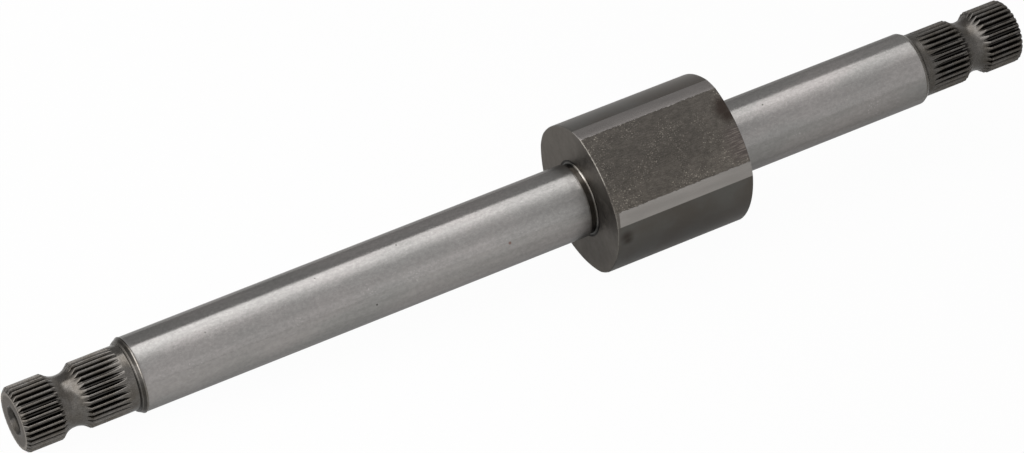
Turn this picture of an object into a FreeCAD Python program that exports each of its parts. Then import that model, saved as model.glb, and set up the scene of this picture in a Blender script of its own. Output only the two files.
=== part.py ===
"""Pedal shaft, turned, milled and ground from one bar.

Both ends carry a 31-tooth serration with a clamp bolt groove, the two ground journals
run in bushes, and the block between them has five ground lands and five wide faces.
The shaft is drawn along +X from its near end face, with angles taken about +X from +Z,
and then laid down as it comes to rest: on the near serration and the block's near edge.
"""
import FreeCAD, Part
import math
import os
import Sketcher
from FreeCAD import Placement, Rotation, Vector

doc = FreeCAD.newDocument("pedal_shaft")

# Driving sizes, in millimetres and degrees

DRIVING_SIZES = [
    ("spline_length", 24.5, "each serrated end, from its end face to the journal shoulder"),
    ("near_journal_length", 104.6, "near shoulder to the block"),
    ("block_length", 32.5, "block between its two end faces"),
    ("far_journal_length", 49.4, "block to the far shoulder"),
    ("journal_dia", 16.0, "ground journals"),
    ("shoulder_face_dia", 14.9, "flat part of each shoulder"),
    ("shoulder_lead_angle", 30.0, "lead chamfer from the shoulder up to the journal, to the axis"),
    ("serration_dia", 14.0, "over the tooth crests"),
    ("serration_root_dia", 12.06, "at the valley floors"),
    ("serration_count", 31, "teeth round the shaft"),
    ("valley_angle", 48.383, "between the two flanks of a valley"),
    ("valley_floor_width", 0.236, "flat at the bottom of a valley"),
    ("near_crest_turn", 7.66, "turn of a near tooth crest from straight up"),
    ("far_crest_turn", 10.7, "turn of a far tooth crest from straight up"),
    ("cutter_dia", 17.4, "disc cutter, whose curve is left at each valley's inner end"),
    ("runout_to_shoulder", 1.6, "pointed tip of a valley to the shoulder"),
    ("end_chamfer", 0.8, "on the crests at both end faces"),
    ("clamp_groove_centre", 11.0, "end face to the middle of the clamp bolt groove"),
    ("clamp_groove_root_dia", 11.1, "bottom of the clamp bolt groove"),
    ("clamp_groove_radius", 3.7, "hollow of the clamp bolt groove"),
    ("clamp_hollow_height", 0.4, "how far up the hollow's arc reaches"),
    ("clamp_flank_angle", 37.0, "straight flanks of the clamp bolt groove, to the axis"),
    ("centre_rim_dia", 6.3, "mouth of each lathe centre"),
    ("centre_cone_angle", 60.0, "lathe centre"),
    ("centre_pilot_dia", 3.15, "pilot drilling under the centre cone"),
    ("centre_pilot_depth", 7.5, "end face to the full width end of the pilot"),
    ("drill_point_angle", 120.0, "bottom of the pilot"),
    ("relief_width", 1.6, "grinding relief beside the block"),
    ("relief_depth", 0.35, "grinding relief below the journal"),
    ("relief_corner", 0.4, "slope across the inner corner of the grinding relief"),
    ("relief_face_depth", 0.12, "grinding relief into the block's end face"),
    ("relief_ring_dia", 16.8, "where the relief leaves the block's end face"),
    ("block_dia", 33.14, "over the ground lands"),
    ("face_count", 5, "wide faces, with a land between each two"),
    ("face_height", 16.06, "axis to the middle of a wide face"),
    ("face_radius", 21.2, "bulge of a wide face"),
    ("block_edge_break", 0.2, "edges round the block's end faces"),
    ("overrun", 1.0, "how far a cutting profile reaches outside the metal"),
]

# Stations along the axis, radii and turns worked out from the driving sizes

DERIVED_SIZES = [
    ("journal_rad", "journal_dia / 2"),
    ("shoulder_rad", "shoulder_face_dia / 2"),
    ("neck_rad", "serration_dia / 2"),
    ("end_face_rad", "neck_rad - end_chamfer"),
    ("block_rad", "block_dia / 2"),
    ("lead_length", "(journal_rad - shoulder_rad) / tan(shoulder_lead_angle)"),
    ("block_start", "spline_length + near_journal_length"),
    ("block_end", "block_start + block_length"),
    ("far_shoulder", "block_end + far_journal_length"),
    ("total_length", "far_shoulder + spline_length"),
    ("clamp_arc_rad", "clamp_groove_root_dia / 2 + clamp_hollow_height"),
    ("clamp_arc_half", "sqrt(2 * clamp_groove_radius * clamp_hollow_height - clamp_hollow_height ^ 2)"),
    ("clamp_top_rad", "neck_rad + overrun"),
    ("clamp_top_half", "clamp_arc_half + (clamp_top_rad - clamp_arc_rad) / tan(clamp_flank_angle)"),
    ("pilot_rad", "centre_pilot_dia / 2"),
    ("cone_depth", "(centre_rim_dia / 2 - pilot_rad) / tan(centre_cone_angle / 2)"),
    ("cone_mouth_rad", "centre_rim_dia / 2 + overrun * tan(centre_cone_angle / 2)"),
    ("point_depth", "centre_pilot_depth + pilot_rad / tan(drill_point_angle / 2)"),
    ("relief_rad", "journal_rad - relief_depth"),
    ("face_sweep", "1.5 * 360 / face_count"),
    ("root_rad", "serration_root_dia / 2"),
    ("cutter_rad", "cutter_dia / 2"),
    ("runout_length", "sqrt(cutter_rad ^ 2 - (cutter_rad - neck_rad + root_rad) ^ 2)"),
    ("valley_length", "spline_length - runout_to_shoulder - runout_length"),
    ("lift_height", "neck_rad - root_rad + runout_to_shoulder / 4"),
    ("lift_length", "sqrt(cutter_rad ^ 2 - (cutter_rad - lift_height) ^ 2)"),
    ("valley_depth", "neck_rad - root_rad + overrun"),
    ("valley_floor_half", "valley_floor_width / 2"),
    ("valley_top_half", "valley_floor_half + valley_depth * tan(valley_angle / 2)"),
    ("near_valley_turn", "near_crest_turn + 180 / serration_count"),
    ("far_valley_turn", "far_crest_turn + 180 / serration_count"),
    ("rest_tilt", "atan((face_height - neck_rad) / (block_start + block_edge_break - end_chamfer))"),
    ("rest_shift", "-total_length / 2 * cos(rest_tilt)"),
    ("rest_lift", "neck_rad * cos(rest_tilt) - end_chamfer * sin(rest_tilt)"),
]

sheet = doc.addObject("Spreadsheet::Sheet", "sizes")
first_derived_row = len(DRIVING_SIZES) + 2
for row, (alias, value, note) in enumerate(DRIVING_SIZES, start=1):
    sheet.set(f"A{row}", alias)
    sheet.set(f"B{row}", str(value))
    sheet.set(f"C{row}", note)
    sheet.setAlias(f"B{row}", alias)
for row, (alias, formula) in enumerate(DERIVED_SIZES, start=first_derived_row):
    sheet.set(f"A{row}", alias)
    sheet.set(f"B{row}", f"={formula}")
    sheet.setAlias(f"B{row}", alias)
doc.recompute()

ALIASES = {row[0] for row in DRIVING_SIZES + DERIVED_SIZES}


def with_sheet(formula):
    """Puts the sheet's name before each alias in a formula such as "block_start - overrun"."""
    return " ".join(f"sizes.{word}" if word in ALIASES else word for word in formula.split())


def value_of(formula):
    """Present value of a formula."""
    return float(sheet.evalExpression(with_sheet(formula)))


# The body and the sketches that it is made from

body = doc.addObject("PartDesign::Body", "pedal_shaft")
body.Label = "pedal_shaft"
origin_parts = {part.Role: part for part in body.Origin.OriginFeatures}


def arc_between(start, end, radius):
    """Arc under half a turn. It turns left from start to end, or right with a minus radius."""
    chord = end - start
    middle = (start + end) * 0.5
    rise = math.sqrt(radius ** 2 - chord.Length ** 2 / 4)
    left = Vector(-chord.y, chord.x, 0).normalize()
    centre = middle + left * math.copysign(rise, radius)
    first, last = (start, end) if radius > 0 else (end, start)
    first_angle = math.atan2(first.y - centre.y, first.x - centre.x)
    last_angle = math.atan2(last.y - centre.y, last.x - centre.x)
    circle = Part.Circle(centre, Vector(0, 0, 1), abs(radius))
    return Part.ArcOfCircle(circle, first_angle, last_angle)


def pin(sketch, geometry, point, kind, formula):
    """Holds a point of a sketch edge at a named distance from the sketch's origin."""
    distance = value_of(formula)
    index = sketch.addConstraint(Sketcher.Constraint(kind, -1, 1, geometry, point, distance))
    sketch.setExpression(f"Constraints[{index}]", with_sheet(formula))


def draw(name, plane, corners, arcs=None, closed=True):
    """Sketch of an outline. Corners are pairs of formulas, arcs give an edge's radius."""
    arcs = arcs or {}
    sketch = body.newObject("Sketcher::SketchObject", name)
    sketch.AttachmentSupport = (origin_parts[plane], "")
    sketch.MapMode = "FlatFace"
    places = [Vector(value_of(along), value_of(across), 0) for along, across in corners]
    edge_count = len(corners) if closed else len(corners) - 1
    ends = []
    for edge in range(edge_count):
        start = places[edge]
        end = places[(edge + 1) % len(places)]
        if edge not in arcs:
            line = sketch.addGeometry(Part.LineSegment(start, end))
            ends.append(((line, 1), (line, 2)))
            continue
        side, radius = arcs[edge]
        arc = sketch.addGeometry(arc_between(start, end, side * value_of(radius)))
        index = sketch.addConstraint(Sketcher.Constraint("Radius", arc, value_of(radius)))
        sketch.setExpression(f"Constraints[{index}]", with_sheet(radius))
        ends.append(((arc, 1), (arc, 2)) if side > 0 else ((arc, 2), (arc, 1)))
    for edge, (along, across) in enumerate(corners):
        here = ends[edge][0] if edge < edge_count else ends[edge - 1][1]
        pin(sketch, *here, "DistanceX", along)
        pin(sketch, *here, "DistanceY", across)
        if closed or 0 < edge < edge_count:
            sketch.addConstraint(Sketcher.Constraint("Coincident", *ends[edge - 1][1], *here))
    return sketch


def turn_sketch(sketch, axis, turn, along="0"):
    """Turns a sketch about the shaft's axis and moves it along that axis."""
    start = Vector(0, 0, value_of(along))
    sketch.AttachmentOffset = Placement(start, Rotation(axis, value_of(turn)))
    sketch.setExpression("AttachmentOffset.Rotation.Angle", with_sheet(turn))
    sketch.setExpression("AttachmentOffset.Base.z", with_sheet(along))


LEFT_TURN = 1
RIGHT_TURN = -1


def revolve(kind, name, sketch):
    """Turned metal, or a turned cut, of one sketch about the shaft's axis."""
    feature = body.newObject(f"PartDesign::{kind}", name)
    feature.Profile = sketch
    feature.ReferenceAxis = (sketch, ["H_Axis"])
    feature.Angle = 360
    doc.recompute()
    return feature


def repeat(name, feature, count):
    """Repeats a cut evenly round the shaft's axis."""
    pattern = body.newObject("PartDesign::PolarPattern", name)
    pattern.Originals = [feature]
    pattern.Axis = (origin_parts["X_Axis"], [""])
    pattern.Angle = 360
    pattern.Occurrences = int(value_of(count))
    pattern.setExpression("Occurrences", with_sheet(count))
    body.Tip = pattern
    doc.recompute()
    return pattern


# Turned shaft: necks, shoulders with a lead chamfer, journals and the round block

shaft_outline = draw(
    "shaft_outline",
    "XY_Plane",
    [
        ("0", "0"),
        ("0", "end_face_rad"),
        ("end_chamfer", "neck_rad"),
        ("spline_length", "neck_rad"),
        ("spline_length", "shoulder_rad"),
        ("spline_length + lead_length", "journal_rad"),
        ("block_start", "journal_rad"),
        ("block_start", "block_rad - block_edge_break"),
        ("block_start + block_edge_break", "block_rad"),
        ("block_end - block_edge_break", "block_rad"),
        ("block_end", "block_rad - block_edge_break"),
        ("block_end", "journal_rad"),
        ("far_shoulder - lead_length", "journal_rad"),
        ("far_shoulder", "shoulder_rad"),
        ("far_shoulder", "neck_rad"),
        ("total_length - end_chamfer", "neck_rad"),
        ("total_length", "end_face_rad"),
        ("total_length", "0"),
    ],
)
revolve("Revolution", "turned_shaft", shaft_outline)

# Wide faces of the block, each turned about its own centre line, with the ground lands left between

face_outline = draw(
    "face_outline",
    "XZ_Plane",
    [
        ("block_start - overrun", "block_edge_break + overrun - face_height"),
        ("block_start + block_edge_break", "0 - face_height"),
        ("block_end - block_edge_break", "0 - face_height"),
        ("block_end + overrun", "block_edge_break + overrun - face_height"),
        ("block_end + overrun", "0 - block_rad - overrun"),
        ("block_start - overrun", "0 - block_rad - overrun"),
    ],
)
face_centre_height = value_of("face_radius - face_height")
centre_line = Part.LineSegment(
    Vector(value_of("block_start"), face_centre_height, 0),
    Vector(value_of("block_end"), face_centre_height, 0),
)
face_axis = face_outline.addGeometry(centre_line, True)
for point, station in ((1, "block_start"), (2, "block_end")):
    pin(face_outline, face_axis, point, "DistanceX", station)
    pin(face_outline, face_axis, point, "DistanceY", "face_radius - face_height")
face_cut = body.newObject("PartDesign::Groove", "face_cut")
face_cut.Profile = face_outline
face_cut.ReferenceAxis = (face_outline, ["Axis0"])
face_cut.Midplane = True
face_cut.setExpression("Angle", with_sheet("face_sweep"))
doc.recompute()
repeat("wide_faces", face_cut, "face_count")


def mirrored(corners, end):
    """Corners measured inwards from the near end face, or from the far one."""
    if end == "near":
        return corners
    return [(f"total_length - ( {along} )", across) for along, across in corners]


# Grinding reliefs where the journals meet the block

relief_corners = {
    "near": ("block_start - relief_width", "block_start + relief_face_depth", "block_start", "-"),
    "far": ("block_end + relief_width", "block_end - relief_face_depth", "block_end", "+"),
}
for end, (outer, inner, face, inwards) in relief_corners.items():
    relief_outline = draw(
        f"{end}_relief_outline",
        "XZ_Plane",
        [
            (outer, "journal_rad + overrun"),
            (outer, "relief_rad"),
            (f"{inner} {inwards} relief_corner", "relief_rad"),
            (inner, "relief_rad + relief_corner"),
            (face, "relief_ring_dia / 2"),
        ],
    )
    revolve("Groove", f"{end}_relief", relief_outline)

for end in ("near", "far"):
    # Clamp bolt groove across the serration
    clamp_outline = draw(
        f"{end}_clamp_outline",
        "XZ_Plane",
        mirrored(
            [
                ("clamp_groove_centre - clamp_top_half", "clamp_top_rad"),
                ("clamp_groove_centre - clamp_arc_half", "clamp_arc_rad"),
                ("clamp_groove_centre + clamp_arc_half", "clamp_arc_rad"),
                ("clamp_groove_centre + clamp_top_half", "clamp_top_rad"),
            ],
            end,
        ),
        arcs={1: (LEFT_TURN if end == "near" else RIGHT_TURN, "clamp_groove_radius")},
    )
    revolve("Groove", f"{end}_clamp_groove", clamp_outline)

    # Lathe centre in the end face
    centre_outline = draw(
        f"{end}_centre_outline",
        "XZ_Plane",
        mirrored(
            [
                ("0 - overrun", "0"),
                ("0 - overrun", "cone_mouth_rad"),
                ("cone_depth", "pilot_rad"),
                ("centre_pilot_depth", "pilot_rad"),
                ("point_depth", "0"),
            ],
            end,
        ),
    )
    revolve("Groove", f"{end}_lathe_centre", centre_outline)

for end, outside in (("near", "0 - overrun"), ("far", "total_length + overrun")):
    # One valley: a straight run from the end face, then the disc cutter's curve out of the metal
    valley_turn = f"{end}_valley_turn"
    valley_path = draw(
        f"{end}_valley_path",
        "XZ_Plane",
        mirrored(
            [
                ("0 - overrun", "root_rad"),
                ("valley_length", "root_rad"),
                ("valley_length + lift_length", "root_rad + lift_height"),
            ],
            end,
        ),
        arcs={1: (LEFT_TURN if end == "near" else RIGHT_TURN, "cutter_rad")},
        closed=False,
    )
    turn_sketch(valley_path, Vector(1, 0, 0), valley_turn)
    valley_section = draw(
        f"{end}_valley_section",
        "YZ_Plane",
        [
            ("0 - valley_floor_half", "root_rad"),
            ("valley_floor_half", "root_rad"),
            ("valley_top_half", "root_rad + valley_depth"),
            ("0 - valley_top_half", "root_rad + valley_depth"),
        ],
    )
    turn_sketch(valley_section, Vector(0, 0, 1), valley_turn, outside)
    valley = body.newObject("PartDesign::SubtractivePipe", f"{end}_valley")
    valley.Profile = valley_section
    valley.Spine = (valley_path, ["Edge1", "Edge2"])
    doc.recompute()
    repeat(f"{end}_serration", valley, "serration_count")

# The shaft laid down at rest

body.Placement = Placement(Vector(0, 0, 0), Rotation(Vector(0, -1, 0), value_of("rest_tilt")))
body.setExpression("Placement.Rotation.Angle", with_sheet("rest_tilt"))
body.setExpression("Placement.Base.x", with_sheet("rest_shift"))
body.setExpression("Placement.Base.z", with_sheet("rest_lift"))
doc.recompute()

# Checks, then the part's file

for thing in doc.Objects:
    if "Invalid" in thing.State or "Error" in thing.State:
        raise RuntimeError(f"{thing.Name} failed")
if body.Shape.isNull() or not body.Shape.isValid() or len(body.Shape.Solids) != 1:
    raise RuntimeError("the shaft isn't one sound solid")
os.makedirs("parts", exist_ok=True)
body.Shape.exportStep(f"parts/{body.Label}.step")
print(f"{body.Label}: {body.Shape.Volume:.1f} mm3, {len(body.Shape.Faces)} faces")
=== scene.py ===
import bpy
import bmesh
import math
from mathutils import Matrix, Vector


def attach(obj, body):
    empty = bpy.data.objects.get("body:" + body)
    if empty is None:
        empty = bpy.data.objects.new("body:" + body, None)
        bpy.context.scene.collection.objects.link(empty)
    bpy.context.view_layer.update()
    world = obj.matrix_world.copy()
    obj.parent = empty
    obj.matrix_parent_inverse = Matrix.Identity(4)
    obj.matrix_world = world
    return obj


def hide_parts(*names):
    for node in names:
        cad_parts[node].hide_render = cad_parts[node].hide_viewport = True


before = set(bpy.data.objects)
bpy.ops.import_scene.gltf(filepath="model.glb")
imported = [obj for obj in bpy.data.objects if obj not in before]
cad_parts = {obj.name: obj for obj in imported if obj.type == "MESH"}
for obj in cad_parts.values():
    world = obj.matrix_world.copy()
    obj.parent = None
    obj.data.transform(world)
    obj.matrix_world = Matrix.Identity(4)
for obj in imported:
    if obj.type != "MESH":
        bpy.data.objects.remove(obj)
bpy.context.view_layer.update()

# How the shaft lies: its near serration and the edge of its block touch the floor, so its axis climbs
layout = {
    "climb": 4.033013,       # degrees, towards the far end
    "nearFace": (-117.458424, 6.926401),  # along and up, in mm, of the near end face's centre
}
shaftToRow = (
    Matrix.Translation((layout["nearFace"][0] / 1000, 0, layout["nearFace"][1] / 1000))
    @ Matrix.Rotation(-math.radians(layout["climb"]), 4, "Y")
    @ Matrix.Scale(0.001, 4)
)

# The shaft in its own frame: mm, x along the axis from the near end face, turns from straight up
shaftSizes = {
    "total": 235.5,
    "endLength": 24.5,
    "journalRadius": 8.0,
    "shoulderRadius": 7.45,
    "leadLength": 0.953,
    "leadAngle": 30.0,
    "leadRounding": 0.12,
    "nearFillet": 0.12,      # between the neck and the shoulder
    "farFillet": 0.3,
    "lipHeight": 0.128,      # raised edge that the grinding left at the near shoulder
    "reliefWidth": 1.5,
    "reliefRadius": 7.65,
    "reliefCorner": 0.4,
    "reliefDepth": 0.12,
    "reliefRing": 8.4,
    "blockStart": 129.1,
    "blockEnd": 161.6,
    "landRadius": 16.57,
    "faceHeight": 16.06,
    "frontHeight": 15.99,    # the rough face is milled a little deeper
    "faceBulge": 21.2,
    "edgeBreak": 0.2,
}
# distance from the near shoulder, with the lead's rise above it or the share of the lip's height
nearLead = ((0.25, 0.15), (0.5, 0.295), (0.75, 0.435), (0.97, 0.56))
nearLip = ((1.03, 0.6), (1.09, 0.95), (1.16, 1.0), (1.24, 0.9), (1.3, 0.6), (1.35, 0.3), (1.41, 0.08),
           (1.47, 0.0), (1.9, 0.0))
toothSizes = {
    "count": 31,
    "crestRadius": 7.0,
    "rootRadius": 6.03,
    "floorHalf": 0.118,
    "valleyAngle": 48.383,
    "crestRounding": 0.085,
    "cutterRadius": 8.7,
    "runoutGap": 1.6,
    "clampCentre": 11.0,
    "clampHollow": 3.7,
    "clampSlope": 40.0,
    "centreRim": 3.15,
    "centreAngle": 60.0,
    "pilotRadius": 1.575,
    "pilotDepth": 7.5,
    "pilotTip": 120.0,
    "plainFrom": 23.4,       # where the toothed piece meets the turned one
}
# the stretches widen the clamp bolt's hollow towards the end face and away from it
nearEnd = {"crestTurn": 7.66, "clampRoot": 5.55, "outerStretch": 0.0, "innerStretch": 0.28, "endChamfer": 0.8}
farEnd = {"crestTurn": 10.7, "clampRoot": 5.62, "outerStretch": 0.1, "innerStretch": 0.0, "endChamfer": 0.55}

gridColumns = {"tooth": 10, "halfLand": 6, "wideFace": 50}
sectorAngle = 360 / 5        # degrees from land to land
mergeWithin = 0.0008         # mm
sharpAngle = 38              # degrees between two faces, from where their edge is shown sharp
finishes = ("ground", "black", "endFace", "block")  # in the order of the shaft's materials


def roundedCorner(centre, radius, startTurn, endTurn, steps):
    # outline points of a small arc, as along and radius pairs
    points = []
    for step in range(steps + 1):
        turn = math.radians(startTurn + (endTurn - startTurn) * step / steps)
        points.append((centre[0] + radius * math.cos(turn), centre[1] + radius * math.sin(turn)))
    return points


def valleyFloorAt(along):
    # straight from the end face, then the disc cutter's curve up to the crests
    size = toothSizes
    rise = size["crestRadius"] - size["rootRadius"]
    runout = math.sqrt(size["cutterRadius"] ** 2 - (size["cutterRadius"] - rise) ** 2)
    curveStart = shaftSizes["endLength"] - size["runoutGap"] - runout
    if along <= curveStart:
        return size["rootRadius"]
    into = min(along - curveStart, size["cutterRadius"] * 0.99)
    return size["rootRadius"] + size["cutterRadius"] - math.sqrt(size["cutterRadius"] ** 2 - into ** 2)


def toothSection(along, outer):
    # one pitch from crest to crest, as across and up pairs, with the valley in the middle
    size = toothSizes
    pitch = 2 * math.pi / size["count"]
    floor = valleyFloorAt(along)
    half = size["floorHalf"]
    if outer <= math.hypot(floor, half) + 1e-5:
        columns = gridColumns["tooth"]
        turns = [pitch * (step / columns - 0.5) for step in range(columns + 1)]
        return [(outer * math.sin(turn), outer * math.cos(turn)) for turn in turns]
    slope = math.tan(math.radians(size["valleyAngle"] / 2))
    offset = half - floor * slope
    edgeUp = (math.sqrt(outer ** 2 * (1 + slope ** 2) - offset ** 2) - offset * slope) / (1 + slope ** 2)
    edgeAcross = offset + slope * edgeUp
    flank = math.hypot(edgeAcross - half, edgeUp - floor)
    rounding = min(size["crestRounding"], flank * 0.25)
    side = [(half, floor)]
    for share in (0.5, 1 - rounding / flank):
        side.append((half + (edgeAcross - half) * share, floor + (edgeUp - floor) * share))
    edgeTurn = math.asin(edgeAcross / outer) + rounding / outer
    side.append((outer * math.sin(edgeTurn), outer * math.cos(edgeTurn)))
    side.append((outer * math.sin(pitch / 2), outer * math.cos(pitch / 2)))
    other = [(-across, up) for across, up in reversed(side)]
    return other + [(0.0, floor)] + side


def clampStations(end):
    # hollow of the clamp bolt groove between its two straight flanks
    size = toothSizes
    crest = size["crestRadius"]
    slope = math.radians(size["clampSlope"])
    hollowTop = end["clampRoot"] + size["clampHollow"] * (1 - math.cos(slope))
    flank = (crest - hollowTop) / math.tan(slope)
    reach = size["clampHollow"] * math.sin(slope)
    outer = size["clampCentre"] - end["outerStretch"]
    inner = size["clampCentre"] + end["innerStretch"]
    flankSteps, hollowSteps, margin = 6, 16, 0.15
    stations = [(outer - reach - flank - margin, crest)]
    for step in range(flankSteps + 1):
        share = step / flankSteps
        stations.append((outer - reach - flank + flank * share, crest + (hollowTop - crest) * share))
    for step in range(1, hollowSteps):
        turn = -slope + 2 * slope * step / hollowSteps
        along = (outer if step < hollowSteps / 2 else inner) + size["clampHollow"] * math.sin(turn)
        if step == hollowSteps / 2 and inner > outer:
            stations.append((outer, end["clampRoot"]))
        stations.append((along, end["clampRoot"] + size["clampHollow"] * (1 - math.cos(turn))))
    for step in range(flankSteps + 1):
        share = step / flankSteps
        stations.append((inner + reach + flank * share, hollowTop + (crest - hollowTop) * share))
    stations.append((inner + reach + flank + margin, crest))
    return stations


def endStations(end):
    # outline of a serrated end, from the bottom of the lathe centre to the plain neck
    size = toothSizes
    crest, rim, pilot = size["crestRadius"], size["centreRim"], size["pilotRadius"]
    chamfer = end["endChamfer"]
    coneDepth = (rim - pilot) / math.tan(math.radians(size["centreAngle"] / 2))
    stations = [
        (size["pilotDepth"] + pilot / math.tan(math.radians(size["pilotTip"] / 2)), 0.0),
        (size["pilotDepth"], pilot),
        (coneDepth + 2.0, pilot),
        (coneDepth, pilot),
        (coneDepth * 0.5, (rim + pilot) / 2),
        (0.05, rim - 0.03),
        (0.0, rim + 0.04),
        (0.0, rim + 1.2),
        (0.0, crest - chamfer - 0.06),
        (0.05, crest - chamfer + 0.03),
    ]
    for step in range(1, 5):
        along = chamfer * step / 5
        stations.append((along, crest - chamfer + along))
    stations.append((chamfer - 0.05, crest - 0.05))
    stations += [(along, crest) for along in (chamfer + 0.06, 1.2, 3.0, 5.5)]
    stations += clampStations(end)
    stations += [(along, crest) for along in (15.5, 17.2)]
    # closer and closer rows where the cutter ran out
    tip = shaftSizes["endLength"] - size["runoutGap"]
    for step in range(11):
        stations.append((tip - 4.0 + 4.0 * math.sin(math.pi / 2 * step / 10), crest))
    stations += [(tip + 0.12, crest), (size["plainFrom"], crest)]
    return stations


def wrapGrid(bm, stations, columns, place):
    # a flat grid, one row for each station, whose corners are then put on the shaft
    made = bmesh.ops.create_grid(bm, x_segments=columns, y_segments=len(stations) - 1, size=1.0)
    for number, vert in enumerate(made["verts"]):
        row, column = divmod(number, columns + 1)
        vert.co = place(stations[row], column)


def copyRound(bm, copies, angle):
    # more of what the bmesh holds, each turned on by the angle about the shaft's axis
    bmesh.ops.spin(bm, geom=bm.verts[:] + bm.edges[:] + bm.faces[:], cent=(0, 0, 0), axis=(1, 0, 0),
                   dvec=(0, 0, 0), angle=math.radians(copies * angle), steps=copies, use_duplicate=True)


def serratedEnd(end, far):
    bm = bmesh.new()
    stations = endStations(end)
    sections = {}

    def place(station, column):
        if station not in sections:
            sections[station] = toothSection(*station)
        across, up = sections[station][column]
        return Vector((station[0], -across, up))

    wrapGrid(bm, stations, gridColumns["tooth"], place)
    count = toothSizes["count"]
    copyRound(bm, count - 1, 360 / count)
    bmesh.ops.remove_doubles(bm, verts=bm.verts, dist=mergeWithin)
    valleyTurn = math.radians(end["crestTurn"] + 180 / count)
    bmesh.ops.rotate(bm, verts=bm.verts, cent=(0, 0, 0), matrix=Matrix.Rotation(valleyTurn, 3, "X"))
    if far:
        bmesh.ops.scale(bm, verts=bm.verts, vec=(-1, 1, 1))
        bmesh.ops.translate(bm, verts=bm.verts, vec=(shaftSizes["total"], 0, 0))
    return bm


def nearShoulder():
    # neck, shoulder, lead chamfer and the lip that the grinding left beside the journal
    size = shaftSizes
    neck = toothSizes["crestRadius"]
    fillet = size["nearFillet"]
    shoulder = size["endLength"]
    rows = [(shoulder - 0.75, neck), (shoulder - 0.4, neck)]
    rows += roundedCorner((shoulder - fillet, neck + fillet), fillet, -90, 0, 3)
    rows += [(shoulder, neck + 0.25), (shoulder, size["shoulderRadius"] - 0.045)]
    rows.append((shoulder + 0.03, size["shoulderRadius"]))
    rows += [(shoulder + into, size["shoulderRadius"] + rise) for into, rise in nearLead]
    rows += [(shoulder + into, size["journalRadius"] + size["lipHeight"] * share) for into, share in nearLip]
    return rows


def farShoulder():
    size = shaftSizes
    neck = toothSizes["crestRadius"]
    fillet = size["farFillet"]
    shoulder = size["endLength"]
    rows = [(toothSizes["plainFrom"] + 0.3, neck)]
    rows += roundedCorner((shoulder - fillet, neck + fillet), fillet, -90, 0, 4)
    rows += [(shoulder, size["shoulderRadius"] - 0.05), (shoulder + 0.04, size["shoulderRadius"] + 0.02)]
    leadEnd = shoulder + size["leadLength"]
    rounding = size["leadRounding"]
    slope = math.tan(math.radians(size["leadAngle"]))
    for before in (0.3, rounding):
        rows.append((leadEnd - before, size["journalRadius"] - before * slope))
    rows.append((leadEnd, size["journalRadius"] - rounding * 0.1))
    rows += [(leadEnd + rounding, size["journalRadius"]), (leadEnd + 0.5, size["journalRadius"])]
    return [(size["total"] - along, radius) for along, radius in reversed(rows)]


def journalRows(start, end, count):
    return [(start + (end - start) * step / count, shaftSizes["journalRadius"]) for step in range(count + 1)]


def reliefRows(face, outwards):
    # from the journal into the block's end face; outwards is -1 on the near side
    size = shaftSizes
    floor, corner, ring = size["reliefRadius"], size["reliefCorner"], size["reliefRing"]
    rim = face + outwards * size["reliefWidth"]
    bottom = face - outwards * size["reliefDepth"]
    rows = [
        (rim + outwards * 0.06, size["journalRadius"]),
        (rim, size["journalRadius"] - 0.03),
        (rim - outwards * 0.03, size["journalRadius"] - 0.08),
        (rim - outwards * 0.04, floor + 0.04),
        (rim - outwards * 0.1, floor),
        (rim - outwards * 0.4, floor),
        (bottom + outwards * (corner + 0.3), floor),
        (bottom + outwards * corner, floor),
    ]
    centre = (bottom + outwards * corner, floor + corner)
    rows += roundedCorner(centre, corner, -90, -90 - outwards * 90, 4)[1:]
    rows += [
        (face - outwards * 0.05, ring - 0.05),
        (face - outwards * 0.005, ring + 0.01),
        (face, ring + 0.07),
        (face, ring + 0.4),
    ]
    return rows


def blockRows():
    # rows with a third value lie on the block's sides, which drop that far at its end faces
    size = shaftSizes
    start, end, top, broken = size["blockStart"], size["blockEnd"], size["landRadius"], size["edgeBreak"]
    endFace = (10.5, 13.0, 15.0)
    steps = 12
    drops = (
        (0.0, broken + 0.25),
        (0.0, broken + 0.01),
        (broken * 0.1, broken * 0.75),
        (broken * 0.75, broken * 0.1),
        (broken + 0.01, 0.0),
        (broken + 0.3, 0.0),
    )
    rows = [(start, radius) for radius in endFace]
    rows += [(start + into, top - drop, drop) for into, drop in drops]
    rows += [(start + (end - start) * step / steps, top, 0.0) for step in range(1, steps)]
    rows += [(end - into, top - drop, drop) for into, drop in reversed(drops)]
    rows += [(end, radius) for radius in reversed(endFace)]
    return rows


def landHalfTurn(height):
    # half a land's turn where it borders a wide face of this height
    size = shaftSizes
    inset = size["faceBulge"] - height
    top = size["faceBulge"] ** 2 - size["landRadius"] ** 2 - inset ** 2
    return sectorAngle / 2 - math.degrees(math.acos(top / (2 * size["landRadius"] * inset)))


def wideFace(turn, height):
    # radius of a bulging face at a turn from the land before it
    bulge = shaftSizes["faceBulge"]
    inset = bulge - height
    away = math.radians(turn - sectorAngle / 2)
    return math.sqrt(bulge ** 2 - (inset * math.sin(away)) ** 2) - inset * math.cos(away)


def sectorTurn(column, land):
    # turn of a column over half a land, a wide face and half a land
    halfLand, face = gridColumns["halfLand"], gridColumns["wideFace"]
    if column <= halfLand:
        return land * column / halfLand
    if column <= halfLand + face:
        return land + (sectorAngle - 2 * land) * (column - halfLand) / face
    return sectorAngle - land + land * (column - halfLand - face) / halfLand


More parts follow.
